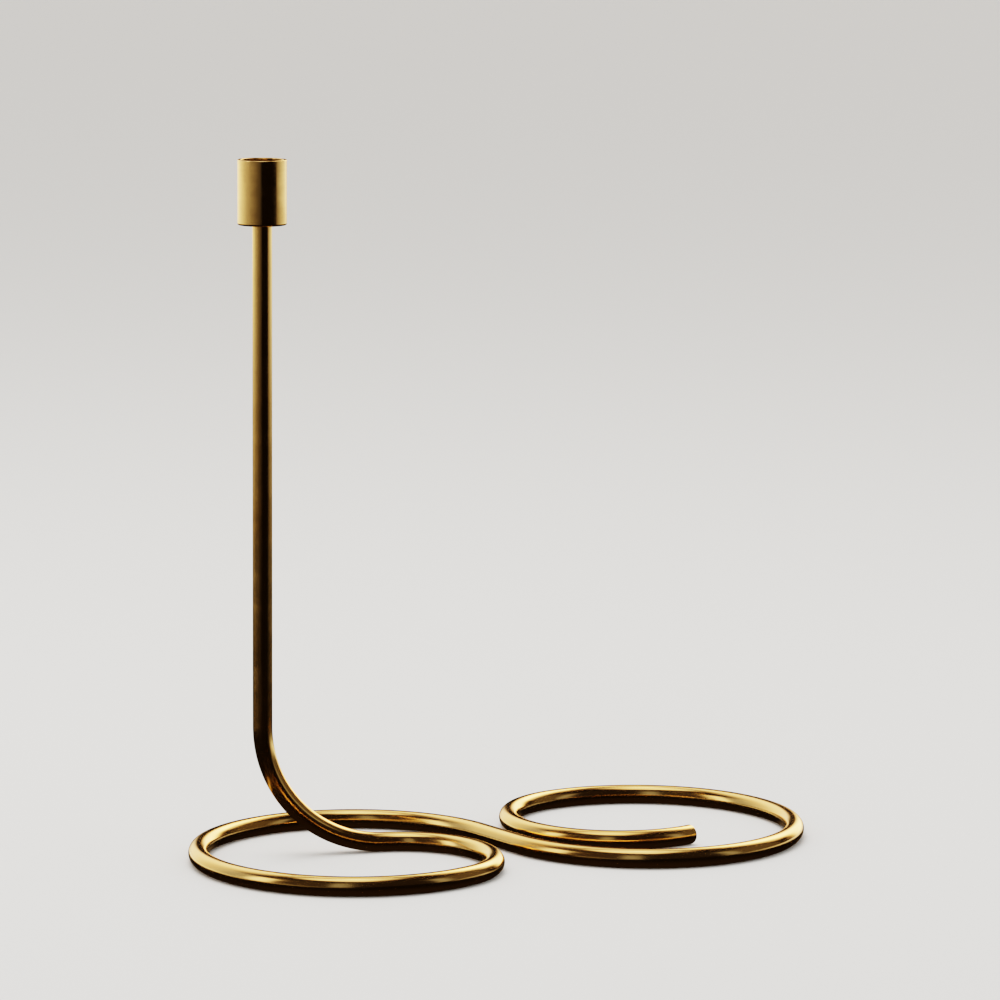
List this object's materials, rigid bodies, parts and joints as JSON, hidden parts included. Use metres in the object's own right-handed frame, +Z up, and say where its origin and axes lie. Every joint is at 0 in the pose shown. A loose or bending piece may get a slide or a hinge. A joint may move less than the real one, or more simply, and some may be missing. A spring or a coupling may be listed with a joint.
{
  "type": "spiral candle holder",
  "caption": "Candle holder bent from one round bar: a flat S of open loops as the base, a quarter bend, a tall upright stem, and a turned cup for a taper candle on its top end.",
  "frame": {"origin": "on the surface that the holder stands on, below the middle of the S, which is the bottom centre of the whole holder's box", "axes": "+Z up the stem, +X from the loop that the stem stands in towards the loop with the free end, +Y towards the back"},
  "size_m": [0.3333, 0.17, 0.358],
  "materials": {
    "polished_brass": "drawn round brass bar, bent cold and polished bright",
    "turned_brass": "turned from bar and polished along the turning marks",
    "zinc_plated_steel": "bright zinc plate on steel"
  },
  "bodies": {
    "root": {"bent_rod": "polished_brass", "candle_cup": "turned_brass", "cup_screw": "zinc_plated_steel", "spring_washer": "zinc_plated_steel", "flat_washer": "zinc_plated_steel"}
  },
  "joints": []
}
